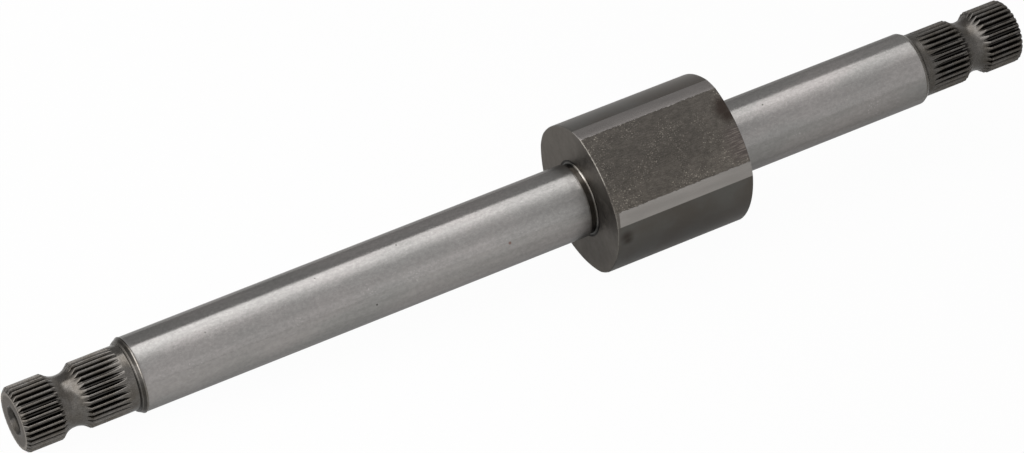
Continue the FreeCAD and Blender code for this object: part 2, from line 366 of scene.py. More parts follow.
def middleStations():
    size = shaftSizes
    near = nearShoulder()
    far = farShoulder()
    fromShoulder, fromBlock = 3.0, size["reliefWidth"] + 0.45
    stations = near + journalRows(near[-1][0] + fromShoulder, size["blockStart"] - fromBlock, 8)
    stations += reliefRows(size["blockStart"], -1)
    stations += blockRows()
    stations += reversed(reliefRows(size["blockEnd"], 1))
    stations += journalRows(size["blockEnd"] + fromBlock, far[0][0] - fromShoulder, 5)
    return stations + far


def sectorGrid(stations, height, start):
    # a fifth of the middle, from land to land
    land = landHalfTurn(height)
    halfLand, face = gridColumns["halfLand"], gridColumns["wideFace"]

    def place(station, column):
        turn = sectorTurn(column, land)
        radius = station[1]
        if len(station) == 3 and halfLand <= column <= halfLand + face:
            radius = min(radius, wideFace(turn, height) - station[2])
        angle = math.radians(start + turn)
        return Vector((station[0], -radius * math.sin(angle), radius * math.cos(angle)))

    bm = bmesh.new()
    wrapGrid(bm, stations, 2 * halfLand + face, place)
    return bm


def joinInto(bm, other):
    carrier = bpy.data.meshes.new("carrier")
    other.to_mesh(carrier)
    other.free()
    bm.from_mesh(carrier)
    bpy.data.meshes.remove(carrier)


def turnedMiddle():
    # four sectors with smooth faces and the front one with the rough face
    stations = middleStations()
    bm = sectorGrid(stations, shaftSizes["faceHeight"], sectorAngle)
    copyRound(bm, 3, sectorAngle)
    joinInto(bm, sectorGrid(stations, shaftSizes["frontHeight"], 0))
    bmesh.ops.remove_doubles(bm, verts=bm.verts, dist=mergeWithin)
    return bm


def isLand(turn):
    local = turn % sectorAngle
    half = landHalfTurn(shaftSizes["frontHeight"] if 0 < turn < sectorAngle else shaftSizes["faceHeight"])
    return local < half or local > sectorAngle - half


def finishOf(face):
    # which of the finishes a face takes, where block means the sides of the block
    size = shaftSizes
    middle = face.calc_center_median()
    radius = math.hypot(middle.y, middle.z)
    facing = abs(face.normal.x)
    if radius > size["reliefRing"] - 0.1:
        if facing > 0.8:
            return "endFace"
        return "block" if radius > size["reliefRing"] + 0.6 else "black"
    if facing > 0.9 and min(middle.x, size["total"] - middle.x) < 0.02:
        return "endFace"
    # the reliefs are black, and so is all that lies beyond the near lip and the far lead
    fromBlock = max(size["blockStart"] - middle.x, middle.x - size["blockEnd"])
    if fromBlock < size["reliefWidth"] - 0.02:
        return "black"
    nearEdge = size["endLength"] + 1.32
    farEdge = size["total"] - size["endLength"] - size["leadLength"] - 0.12
    if nearEdge < middle.x < farEdge and radius > size["journalRadius"] - 0.04:
        return "ground"
    return "black"


def turnOf(face):
    middle = face.calc_center_median()
    return math.degrees(math.atan2(-middle.y, middle.z))


def makeShaft():
    bm = turnedMiddle()
    joinInto(bm, serratedEnd(nearEnd, False))
    joinInto(bm, serratedEnd(farEnd, True))
    for near in (True, False):
        seam = [edge for edge in bm.edges
                if edge.is_boundary and (edge.verts[0].co.x < shaftSizes["blockStart"]) == near]
        bmesh.ops.bridge_loops(bm, edges=seam)
    bmesh.ops.recalc_face_normals(bm, faces=bm.faces)
    for face in bm.faces:
        face.smooth = True
        face.material_index = finishes.index(finishOf(face))
    block = finishes.index("block")
    for edge in bm.edges:
        if len(edge.link_faces) != 2:
            continue
        first, second = edge.link_faces
        sides = first.material_index == block and second.material_index == block
        landEdge = sides and isLand(turnOf(first)) != isLand(turnOf(second))
        if landEdge or edge.calc_face_angle(0) > math.radians(sharpAngle):
            edge.smooth = False
    loose = [edge for edge in bm.edges if not edge.is_manifold]
    print("open edges left on the shaft:", len(loose))
    bmesh.ops.transform(bm, matrix=shaftToRow, verts=bm.verts)
    mesh = bpy.data.meshes.new("pedalShaft")
    bm.to_mesh(mesh)
    bm.free()
    piece = bpy.data.objects.new("pedalShaft", mesh)
    bpy.context.scene.collection.objects.link(piece)
    print("shaft modelled:", len(mesh.vertices), "corners,", len(mesh.polygons), "faces")
    return piece


# Materials


def addNode(tree, kind, **settings):
    made = tree.nodes.new(kind)
    for name, value in settings.items():
        setattr(made, name, value)
    return made


def feed(tree, socket, value):
    # a number or colour is set on the socket, an output is linked to it
    if isinstance(value, (int, float)):
        socket.default_value = value
    elif isinstance(value, tuple):
        socket.default_value = (*value, 1.0) if socket.type == "RGBA" else value
    else:
        tree.links.new(value, socket)


def maths(tree, operation, first, second=None, third=None):
    made = addNode(tree, "ShaderNodeMath", operation=operation)
    for number, value in enumerate((first, second, third)):
        if value is not None:
            feed(tree, made.inputs[number], value)
    return made.outputs[0]


def times(tree, *values):
    result = values[0]
    for value in values[1:]:
        result = maths(tree, "MULTIPLY", result, value)
    return result


def shaftPlace(tree):
    # Object coordinates turned back into the shaft's own frame, in mm
    back = shaftToRow.inverted()
    coords = addNode(tree, "ShaderNodeTexCoord")
    mapping = addNode(tree, "ShaderNodeMapping", vector_type="POINT")
    mapping.inputs["Location"].default_value = back.to_translation()
    mapping.inputs["Rotation"].default_value = back.to_euler("XYZ")
    mapping.inputs["Scale"].default_value = (1000, 1000, 1000)
    tree.links.new(coords.outputs["Object"], mapping.inputs["Vector"])
    return mapping.outputs["Vector"]


def shaftParts(tree, place):
    # distance along the axis and from it, in mm, and the turn in degrees
    parts = addNode(tree, "ShaderNodeSeparateXYZ")
    tree.links.new(place, parts.inputs[0])
    across = maths(tree, "MULTIPLY", parts.outputs["Y"], -1.0)
    square = maths(tree, "MULTIPLY_ADD", across, across, times(tree, parts.outputs["Z"], parts.outputs["Z"]))
    turn = maths(tree, "DEGREES", maths(tree, "ARCTAN2", across, parts.outputs["Z"]))
    return parts.outputs["X"], maths(tree, "SQRT", square), turn


def stretched(tree, place, scale):
    mapping = addNode(tree, "ShaderNodeMapping", vector_type="POINT")
    mapping.inputs["Scale"].default_value = scale
    tree.links.new(place, mapping.inputs["Vector"])
    return mapping.outputs["Vector"]


def noise(tree, place, scale, detail=3.0, roughness=0.5):
    # scale holds the grains to the mm along, across and up
    made = addNode(tree, "ShaderNodeTexNoise")
    made.inputs["Scale"].default_value = 1.0
    made.inputs["Detail"].default_value = detail
    made.inputs["Roughness"].default_value = roughness
    scale = scale if isinstance(scale, tuple) else (scale, scale, scale)
    tree.links.new(stretched(tree, place, scale), made.inputs["Vector"])
    return made.outputs["Fac"]


def ramped(tree, value, low, high, bottom=0.0, top=1.0):
    made = addNode(tree, "ShaderNodeMapRange", interpolation_type="SMOOTHSTEP")
    given = {"Value": value, "From Min": low, "From Max": high, "To Min": bottom, "To Max": top}
    for name, number in given.items():
        feed(tree, made.inputs[name], number)
    return made.outputs["Result"]


def within(tree, value, low, high, soft):
    # 1 between the two, fading out over the soft width
    rise = ramped(tree, value, low - soft, low + soft)
    return times(tree, rise, ramped(tree, value, high - soft, high + soft, 1.0, 0.0))


def blended(tree, share, first, second):
    made = addNode(tree, "ShaderNodeMix", data_type="RGBA")
    feed(tree, made.inputs[0], share)
    feed(tree, made.inputs[6], first)
    feed(tree, made.inputs[7], second)
    return made.outputs[2]


def scaled(tree, colour, factor):
    # a colour made lighter or darker by a factor
    made = addNode(tree, "ShaderNodeVectorMath", operation="SCALE")
    feed(tree, made.inputs[0], colour)
    feed(tree, made.inputs["Scale"], factor)
    return made.outputs[0]


def chosen(tree, mask, outside, inside):
    # one value where the mask is 0, the other where it is 1
    return ramped(tree, mask, 0.0, 1.0, outside, inside)


def shaded(tree, colour, mask, factor):
    # the colour made lighter or darker where the mask is 1
    return scaled(tree, colour, chosen(tree, mask, 1.0, factor))


def spots(tree, place, listed, radius, inner=0.5):
    # 1 at each listed place on a cylinder of this radius
    result = None
    for along, turn, size in listed:
        angle = math.radians(turn)
        made = addNode(tree, "ShaderNodeVectorMath", operation="DISTANCE")
        tree.links.new(place, made.inputs[0])
        made.inputs[1].default_value = (along, -radius * math.sin(angle), radius * math.cos(angle))
        spot = ramped(tree, made.outputs["Value"], size * inner, size, 1.0, 0.0)
        result = spot if result is None else maths(tree, "MAXIMUM", result, spot)
    return result


def newSteel(name, edge=1.0):
    # edge says how bright the steel stays where it is seen edge on
    material = bpy.data.materials.new(name)
    material.use_nodes = True
    tree = material.node_tree
    shader = tree.nodes["Principled BSDF"]
    shader.inputs["Metallic"].default_value = 1.0
    shader.inputs["Specular Tint"].default_value = (edge, edge, edge, 1.0)
    return material, tree, shader


def addBump(tree, shader, heights, depths):
    # heights between 0 and 1, each with its depth in mm
    normal = None
    for height, depth in zip(heights, depths):
        bump = addNode(tree, "ShaderNodeBump")
        bump.inputs["Strength"].default_value = 1.0
        bump.inputs["Distance"].default_value = depth / 1000
        tree.links.new(height, bump.inputs["Height"])
        if normal is not None:
            tree.links.new(normal, bump.inputs["Normal"])
        normal = bump.outputs["Normal"]
    tree.links.new(normal, shader.inputs["Normal"])


# Colours, and for marks how many times lighter or darker they are
steelLooks = {
    "ground": (0.33, 0.318, 0.311),
    "groundCool": (0.29, 0.287, 0.28),
    "groundRoughness": (0.2, 0.27),
    "groundDrawn": 0.95,     # the grinding marks run round, so gloss is drawn out along the axis
    "groundEdge": 0.6,
    "groundBump": (0.003, 0.009, 0.005),  # mm, of the rings, the grain and the scratches
    "pit": (0.03, 0.025, 0.022),
    "redSpeck": (0.2, 0.09, 0.07),
    "scratch": 1.4,
    "paintedGlint": (1.12, 2.4),   # painted highlight on the journal, towards the near relief, then right beside it
    # the journal made lighter on its lower front, short of the near relief
    "lowerLighter": 1.14,
    "black": (0.128, 0.122, 0.114),
    "blackBrown": (0.105, 0.097, 0.086),
    "blackRoughness": (0.13, 0.26),
    "blackEdge": 0.82,
    "blackBump": (0.01, 0.009),
    "farShade": 0.85,        # the far end is darker and duller than the near one
    "farDull": 0.1,
    # painted highlight on the far lead
    "farLeadHighlight": 1.45,
    # painted shade in the valleys between the teeth
    "valley": 0.32,
    # the crests' rounded edges lighter: partly wear, partly a painted highlight
    "crest": 1.4,
    "crestGloss": -0.05,
    "bevel": (0.48, 0.24),   # painted shade on the near shoulder's bevel, elsewhere and at the upper front
    "lip": (0.35, 1.4, 2.6),  # painted shade at the back of the lip, and a painted highlight at the front and where it shines most
    # painted shade on the near shoulder's edge, deeper past the upper front
    "shoulderEdge": (0.8, 0.4),
    "reliefFloorLight": (0.8, 3.2),  # the relief's floor: darker elsewhere, and a painted highlight at the top
    # painted shade on the relief's wall
    "reliefWallShade": 0.7,
    "reliefDull": 0.24,      # added to the wall's roughness
    # painted shade on the relief at the back
    "reliefBackShade": 0.35,
    "endFace": (0.2, 0.186, 0.17),
    "endRoughness": (0.36, 0.5),
    "endEdge": 0.55,
    "endBump": (0.005, 0.004),
    "endRim": 1.9,           # outer part of the shaft's own end faces
    # the relief ring's colour, which a painted highlight lights at the upper front
    "ring": (0.22, 0.21, 0.19),
    "brightEdge": (0.44, 0.42, 0.38),
    # the same ground lands as lit and shaded copies: painted darker above, lighter below
    "landShaded": (0.255, 0.242, 0.234),
    "landLit": (0.316, 0.302, 0.287),
    "smooth": (0.084, 0.082, 0.076),
    "smoothBrown": (0.068, 0.06, 0.052),
    "rough": (0.09, 0.0815, 0.0705),
    "roughDark": (0.052, 0.046, 0.039),
    "speck": (0.3, 0.275, 0.235),
    "stain": (0.012, 0.005, 0.002),
    "burr": (0.062, 0.051, 0.047),
    "burrLine": (0.16, 0.138, 0.125),
    "smoothRoughness": 0.4,
    "roughRoughness": 0.62,
    "landRoughness": 0.24,
    "roughMetal": 0.55,      # scale on the rough face makes it less of a mirror
    "blockBump": (0.12, 0.03, 0.005),  # mm, of the rough face's grain and furrows, and of all sides
}
# along, turn and size, in mm and degrees: dark pits and a red speck in the journals
journalPits = ((77.3, 85.7, 0.24), (85.7, 9.4, 0.2), (41.1, 28.3, 0.16), (66.9, 12.1, 0.16),
               (172.6, 15.2, 0.2))
redSpecks = ((108.5, 71.1, 0.4),)
# patches of light scratches
scratchPatches = ((86.6, 66.0, 2.6), (36.5, 71.0, 3.4), (76.5, 60.0, 3.6), (60.0, 64.0, 2.4),
                  (178.2, 80.0, 3.2), (196.8, 84.0, 4.5), (108.0, 62.0, 2.5))
# a smudge on the lower smooth face and the rust stain on the rough one
smudgeSpots = ((131.1, 88.5, 2.2), (131.4, 93.0, 1.9))
stainSpots = ((160.7, 19.5, 2.8), (160.3, 23.5, 3.0), (160.6, 28.5, 2.6))
# stretches of the teeth on both sides of the clamp groove, in mm from the end face
toothRuns = ((1.0, 8.2), (14.4, 22.8))


def scratchMask(tree, place):
    # clear scratches in patches and faint ones everywhere
    patches = spots(tree, place, scratchPatches, shaftSizes["journalRadius"], 0.1)
    clear = ramped(tree, noise(tree, place, 2.6, 2.0, 0.6), 0.6, 0.68)
    faint = ramped(tree, noise(tree, place, 3.4, 2.0, 0.6), 0.62, 0.72)
    return maths(tree, "MAXIMUM", times(tree, patches, clear), times(tree, faint, 0.5))


def paintedJournalHighlight(tree, colour, along, turn):
    # a painted highlight beside the near relief, most on its upper front, and the journal lighter lower down
    looks = steelLooks
    start = shaftSizes["blockStart"]
    front = within(tree, turn, 9.0, 33.0, 6.0)
    front = times(tree, front, ramped(tree, along, start - 1.1, start - 1.2))
    paintedGlint = ramped(tree, along, start - 7.1, start - 4.1, 1.0, looks["paintedGlint"][0])
    paintedGlint = ramped(tree, along, start - 3.5, start - 0.9, paintedGlint, looks["paintedGlint"][1])
    colour = shaded(tree, colour, front, paintedGlint)
    lowerLighter = within(tree, along, start - 53.1, start - 3.1, 14.0)
    lowerLighter = times(tree, lowerLighter, within(tree, turn, 50.0, 78.0, 8.0))
    return shaded(tree, colour, lowerLighter, looks["lowerLighter"])


def groundSteel():
    looks = steelLooks
    surface = shaftSizes["journalRadius"]
    material, tree, shader = newSteel("groundSteel", looks["groundEdge"])
    shader.inputs["Anisotropic"].default_value = looks["groundDrawn"]
    axis = addNode(tree, "ShaderNodeCombineXYZ")
    for number, part in enumerate((shaftToRow.to_3x3() @ Vector((1, 0, 0))).normalized()):
        axis.inputs[number].default_value = part
    tree.links.new(axis.outputs[0], shader.inputs["Tangent"])
    place = shaftPlace(tree)
    along, _, turn = shaftParts(tree, place)
    cloud = ramped(tree, noise(tree, place, (0.045, 0.16, 0.16), 4.0), 0.35, 0.65)
    colour = blended(tree, cloud, looks["groundCool"], looks["ground"])
    streaks = ramped(tree, noise(tree, place, (0.02, 0.9, 0.9), 2.0), 0.3, 0.7, 0.95, 1.03)
    colour = scaled(tree, colour, streaks)
    mottle = ramped(tree, noise(tree, place, (1.2, 1.7, 1.7), 4.0, 0.7), 0.3, 0.7, 0.91, 1.09)
    colour = scaled(tree, colour, mottle)
    scratches = scratchMask(tree, place)
    colour = shaded(tree, colour, scratches, looks["scratch"])
    colour = paintedJournalHighlight(tree, colour, along, turn)
    colour = blended(tree, spots(tree, place, journalPits, surface), colour, looks["pit"])
    red = spots(tree, place, redSpecks, surface)
    colour = blended(tree, times(tree, red, 0.7), colour, looks["redSpeck"])
    tree.links.new(colour, shader.inputs["Base Color"])
    low, high = looks["groundRoughness"]
    wipe = noise(tree, place, (0.3, 0.8, 0.8), 4.0, 0.6)
    tree.links.new(ramped(tree, wipe, 0.3, 0.75, low, high), shader.inputs["Roughness"])
    rings = noise(tree, place, (9.0, 0.15, 0.15), 3.0, 0.7)
    grain = noise(tree, place, 2.4, 3.0, 0.65)
    addBump(tree, shader, (rings, grain, scratches), looks["groundBump"])
    return material


def crestWearAndGlintMask(tree, place, teeth, radius):
    # the rounded edges of the crests, worn in places, where they are lightened: partly wear, partly a painted
    # highlight
    crest = toothSizes["crestRadius"]
    worn = ramped(tree, noise(tree, place, 0.8, 4.0), 0.3, 0.6, 0.4, 1.0)
    return times(tree, teeth, within(tree, radius, crest - 0.09, crest - 0.015, 0.02), worn)


def nearShoulderPaintedLight(tree, colour, along, radius, turn):
    # painted shade on the bevel, a painted highlight on the lip that changes with the turn, and painted shade
    # on the edge
    looks = steelLooks
    start, journal = shaftSizes["endLength"], shaftSizes["journalRadius"]
    shoulder = ramped(tree, along, start - 0.2, start - 0.05)
    shoulder = times(tree, shoulder, ramped(tree, along, start + 2.5, start + 3.0, 1.0, 0.0))
    bevel = times(tree, shoulder, within(tree, radius, journal - 0.34, journal - 0.01, 0.04))
    shade = chosen(tree, within(tree, turn, 0.0, 34.0, 8.0), *looks["bevel"])
    colour = shaded(tree, colour, bevel, shade)
    back, front, shine = looks["lip"]
    lip = times(tree, shoulder, ramped(tree, radius, journal, journal + 0.06))
    bright = ramped(tree, turn, -6.0, 8.0, back, front)
    bright = chosen(tree, within(tree, turn, 16.0, 54.0, 8.0), bright, shine)
    colour = shaded(tree, colour, lip, bright)
    edge = within(tree, along, start - 0.12, start + 0.2, 0.03)
    return shaded(tree, colour, edge, ramped(tree, turn, 24.0, 40.0, *looks["shoulderEdge"]))


def reliefPaintedLight(tree, colour, groove, radius, turn):
    # a painted highlight on the floor at the top, painted shade on the wall, and painted shade on all of it
    # at the back
    looks = steelLooks
    journal = shaftSizes["journalRadius"]
    floor = chosen(tree, within(tree, turn, -14.0, 24.0, 9.0), *looks["reliefFloorLight"])
    level = ramped(tree, radius, journal - 0.15, journal + 0.1, floor, looks["reliefWallShade"])
    colour = shaded(tree, colour, groove, level)
    front = within(tree, turn, -12.0, 106.0, 6.0)
    return shaded(tree, colour, groove, chosen(tree, front, looks["reliefBackShade"], 1.0))


def blackSteel():
    looks = steelLooks
    size = shaftSizes
    crest, rim, journal = toothSizes["crestRadius"], toothSizes["centreRim"], size["journalRadius"]
    material, tree, shader = newSteel("blackSteel", looks["blackEdge"])
    place = shaftPlace(tree)
    along, radius, turn = shaftParts(tree, place)
    inwards = maths(tree, "MINIMUM", along, maths(tree, "SUBTRACT", size["total"], along))
    cloud = ramped(tree, noise(tree, place, 0.35, 5.0), 0.38, 0.64)
    colour = blended(tree, cloud, looks["black"], looks["blackBrown"])
    grit = ramped(tree, noise(tree, place, (3.2, 4.2, 4.2), 2.0, 0.6), 0.35, 0.72, 0.86, 1.25)
    colour = scaled(tree, colour, grit)
    teeth = maths(tree, "MAXIMUM", *(within(tree, inwards, start, end, 0.2) for start, end in toothRuns))
    # painted shade in the valleys between the teeth
    valleys = times(tree, teeth, ramped(tree, radius, crest - 0.8, crest - 0.05, 1.0, 0.0))
    colour = shaded(tree, colour, valleys, looks["valley"])
    crestWearAndGlint = crestWearAndGlintMask(tree, place, teeth, radius)
    # the crests' edges lightened: partly wear, partly a painted highlight
    colour = shaded(tree, colour, crestWearAndGlint, looks["crest"])
    colour = nearShoulderPaintedLight(tree, colour, along, radius, turn)
    farShoulderAt = size["total"] - size["endLength"]
    # painted highlight on the far lead
    farLeadHighlight = within(tree, along, farShoulderAt - 1.2, farShoulderAt + 0.05, 0.1)
    colour = shaded(tree, colour, farLeadHighlight, looks["farLeadHighlight"])
    groove = within(tree, along, size["blockStart"] - 1.8, size["blockEnd"] + 1.8, 0.1)
    colour = reliefPaintedLight(tree, colour, groove, radius, turn)
    # painted shade: the lathe centre darkens inwards
    holeShade = ramped(tree, radius, rim - 0.15, rim + 0.05, 1.0, 0.0)
    holeShade = times(tree, holeShade, ramped(tree, inwards, 0.0, 3.0, 0.55, 0.85))
    colour = scaled(tree, colour, maths(tree, "SUBTRACT", 1.0, holeShade))
    far = ramped(tree, along, size["blockEnd"] + 8.4, farShoulderAt - 3.0)
    colour = shaded(tree, colour, far, looks["farShade"])
    tree.links.new(colour, shader.inputs["Base Color"])
    low, high = looks["blackRoughness"]
    dull = ramped(tree, noise(tree, place, 0.9, 4.0), 0.3, 0.7, low, high)
    dull = maths(tree, "MULTIPLY_ADD", crestWearAndGlint, looks["crestGloss"], dull)
    wall = times(tree, groove, ramped(tree, radius, journal - 0.15, journal + 0.1))
    dull = maths(tree, "MULTIPLY_ADD", wall, looks["reliefDull"], dull)
    dull = maths(tree, "MULTIPLY_ADD", far, looks["farDull"], dull)
    tree.links.new(dull, shader.inputs["Roughness"])
    rings = noise(tree, place, (5.0, 0.25, 0.25), 3.0, 0.6)
    grain = noise(tree, place, 2.8, 3.0, 0.6)
    addBump(tree, shader, (rings, grain), looks["blackBump"])
    return material


def endFaceSteel():
    # turned faces of the shaft's ends and of the block, which starts outside the relief's ring
    looks = steelLooks
    ringRadius = shaftSizes["reliefRing"]
    material, tree, shader = newSteel("endFaceSteel", looks["endEdge"])
    place = shaftPlace(tree)
    _, radius, turn = shaftParts(tree, place)
    cloud = ramped(tree, noise(tree, place, 0.22, 4.0), 0.32, 0.7, 0.93, 1.07)
    colour = scaled(tree, looks["endFace"], cloud)
    block = ramped(tree, radius, ringRadius - 0.2, ringRadius - 0.1)
    # painted shade on the block's end faces, deepest in the front sector
    blockShade = ramped(tree, turn, 90.0, 120.0, 0.82, 0.74)
    blockShade = chosen(tree, within(tree, turn, 4.0, 86.0, 14.0), blockShade, 0.6)
    colour = scaled(tree, colour, chosen(tree, block, 0.86, blockShade))
    outer = ramped(tree, radius, 5.2, 5.75, 1.0, looks["endRim"])
    colour = scaled(tree, colour, chosen(tree, block, outer, 1.0))
    ring = times(tree, block, ramped(tree, radius, ringRadius + 0.05, ringRadius + 0.12, 0.9, 0.0))
    # painted highlight on the relief's ring, at the upper front
    ringHighlight = within(tree, turn, 8.0, 104.0, 8.0)
    ringHighlight = times(tree, ringHighlight, ramped(tree, turn, 26.0, 48.0, 1.0, 0.4))
    ringHighlightColour = scaled(tree, looks["ring"], maths(tree, "MAXIMUM", ringHighlight, 0.12))
    colour = blended(tree, ring, colour, ringHighlightColour)
    tree.links.new(colour, shader.inputs["Base Color"])
    dull = ramped(tree, noise(tree, place, 0.7, 3.0), 0.3, 0.7, *looks["endRoughness"])
    tree.links.new(dull, shader.inputs["Roughness"])
    # the tool's cuts run round, so the noise is drawn out along the turn
    spiral = addNode(tree, "ShaderNodeCombineXYZ")
    tree.links.new(times(tree, radius, 4.0), spiral.inputs[0])
    tree.links.new(times(tree, turn, 0.004), spiral.inputs[1])
    cuts = noise(tree, spiral.outputs[0], 1.0, 2.0, 0.6)
    grain = noise(tree, place, 2.2, 3.0, 0.6)
    addBump(tree, shader, (cuts, grain), looks["endBump"])
    return material


def landMask(tree, place, turn, front):
    # 1 on the five lands, whose borders to the rough face are ragged
    plain = landHalfTurn(shaftSizes["faceHeight"])
    extra = plain - landHalfTurn(shaftSizes["frontHeight"])
    half = sectorAngle / 2
    local = maths(tree, "FLOORED_MODULO", turn, sectorAngle)
    away = maths(tree, "ABSOLUTE", maths(tree, "SUBTRACT", local, half))
    chips = noise(tree, place, 1.3, 4.0, 0.7)
    ragged = ramped(tree, chips, 0.25, 0.75, extra - 0.55, extra + 0.45)
    border = maths(tree, "MULTIPLY_ADD", front, ragged, half - plain)
    return ramped(tree, maths(tree, "SUBTRACT", away, border), -0.12, 0.12)


def smoothFaces(tree, place, along, turn):
    # oxidised faces; painted light makes them lighter towards the back and just below the front one, and
    # darker further down; they are also lighter towards the far end
    looks = steelLooks
    end = shaftSizes["blockEnd"]
    cloud = ramped(tree, noise(tree, place, 0.12, 4.0), 0.35, 0.65)
    colour = blended(tree, times(tree, cloud, 0.7), looks["smooth"], looks["smoothBrown"])
    smudge = spots(tree, place, smudgeSpots, 16.3, 0.05)
    colour = blended(tree, times(tree, smudge, 0.65), colour, looks["stain"])
    # painted light: lighter and darker by the turn
    colour = scaled(tree, colour, ramped(tree, turn, -14.0, -4.0, 1.08, 1.0))
    colour = scaled(tree, colour, ramped(tree, turn, 84.0, 124.0, 1.27, 0.85))
    return scaled(tree, colour, ramped(tree, along, end - 13.6, end - 1.6, 1.0, 1.08))


def roughFace(tree, place, along, turn):
    # milled marks and light specks, painted light that is darker above and lighter below, with the stain and
    # the burr at the far edge
    looks = steelLooks
    start, end = shaftSizes["blockStart"], shaftSizes["blockEnd"]
    mill = ramped(tree, noise(tree, place, (0.9, 4.5, 4.5), 4.0, 0.7), 0.32, 0.7)
    colour = blended(tree, mill, looks["roughDark"], looks["rough"])
    crowd = ramped(tree, along, start + 0.4, start + 5.4, 0.9, 0.15)
    crowd = ramped(tree, noise(tree, place, 0.2, 3.0), 0.42, 0.6, crowd, 1.0)
    specks = ramped(tree, noise(tree, place, 3.4, 2.0, 0.55), 0.6, 0.68)
    colour = blended(tree, times(tree, specks, crowd, 0.75), colour, looks["speck"])
    cloud = ramped(tree, noise(tree, place, 0.6, 3.0, 0.6), 0.34, 0.66, 0.86, 1.12)
    colour = scaled(tree, colour, cloud)
    # painted light: darker at the upper front, lighter lower down
    colour = scaled(tree, colour, ramped(tree, turn, 38.0, 64.0, 0.76, 1.16))
    colour = scaled(tree, colour, ramped(tree, along, end - 11.6, end - 2.6, 1.0, 1.2))
    stain = spots(tree, place, stainSpots, 16.2, 0.15)
    colour = blended(tree, times(tree, stain, 0.9), colour, looks["stain"])
    lines = ramped(tree, noise(tree, place, (0.25, 4.2, 4.2), 2.0, 0.5), 0.48, 0.58)
    lines = times(tree, lines, ramped(tree, along, end - 5.1, end - 2.1))
    burr = ramped(tree, along, end - 5.6, end - 1.6)
    burr = times(tree, burr, within(tree, turn, 39.0, 64.0, 5.0), 0.75)
    return blended(tree, burr, colour, blended(tree, lines, looks["burr"], looks["burrLine"]))


def groundLands(tree, place, along, turn):
    # the lands are painted darker above and lighter below, as lit and shaded copies; the lower land stops
    # short of the near end in a dull slanting nick
    looks = steelLooks
    nickEnd = shaftSizes["blockStart"] + 2.95
    # painted light: the lower land lighter than the upper one
    colour = blended(tree, ramped(tree, turn, 20.0, 50.0), looks["landShaded"], looks["landLit"])
    cloud = ramped(tree, noise(tree, place, (0.1, 0.5, 0.5), 4.0), 0.35, 0.65, 0.95, 1.05)
    colour = scaled(tree, colour, cloud)
    slant = maths(tree, "MULTIPLY_ADD", turn, 0.03, along)
    nick = ramped(tree, slant, nickEnd - 0.1, nickEnd + 0.1, 1.0, 0.0)
    nick = times(tree, nick, within(tree, turn, 50.0, 90.0, 1.0), 0.8)
    return blended(tree, nick, colour, looks["rough"])


def nearEdgeMask(tree, place, along, turn):
    # the block's near edge is bright where it catches the light
    start = shaftSizes["blockStart"]
    upper = within(tree, turn, 2.0, 44.0, 6.0)
    lit = maths(tree, "MULTIPLY_ADD", within(tree, turn, 64.0, 112.0, 8.0), 0.3, upper)
    edge = times(tree, ramped(tree, along, start + 0.08, start + 0.22, 1.0, 0.0), lit)
    return times(tree, edge, ramped(tree, noise(tree, place, 1.5, 3.0), 0.35, 0.6, 0.25, 0.8))


def blockSteel():
    # ground lands, smooth oxidised faces and the rough milled one in front, told apart by their turn
    looks = steelLooks
    material, tree, shader = newSteel("blockSteel")
    place = shaftPlace(tree)
    along, _, turn = shaftParts(tree, place)
    front = within(tree, turn, 0.0, sectorAngle, 0.5)
    land = landMask(tree, place, turn, front)
    rough = times(tree, front, maths(tree, "SUBTRACT", 1.0, land))
    colour = blended(tree, rough, smoothFaces(tree, place, along, turn), roughFace(tree, place, along, turn))
    colour = blended(tree, land, colour, groundLands(tree, place, along, turn))
    edge = nearEdgeMask(tree, place, along, turn)
    colour = blended(tree, edge, colour, looks["brightEdge"])
    tree.links.new(colour, shader.inputs["Base Color"])
    dull = chosen(tree, rough, looks["smoothRoughness"], looks["roughRoughness"])
    tree.links.new(chosen(tree, land, dull, looks["landRoughness"]), shader.inputs["Roughness"])
    tree.links.new(chosen(tree, rough, 1.0, looks["roughMetal"]), shader.inputs["Metallic"])
    grain = times(tree, rough, noise(tree, place, 2.8, 4.0, 0.7))
    furrows = times(tree, rough, noise(tree, place, (0.3, 3.5, 3.5), 3.0, 0.6))
    fine = noise(tree, place, (0.5, 3.0, 3.0), 3.0, 0.6)
    addBump(tree, shader, (grain, furrows, fine), looks["blockBump"])
    return material


shaft = makeShaft()
for makeSteel in (groundSteel, blackSteel, endFaceSteel, blockSteel):
    shaft.data.materials.append(makeSteel())
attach(shaft, "root")
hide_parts("pedal_shaft")
print("shaft dressed")

# Studio: a pale floor in a room whose light changes with the turn about the shaft

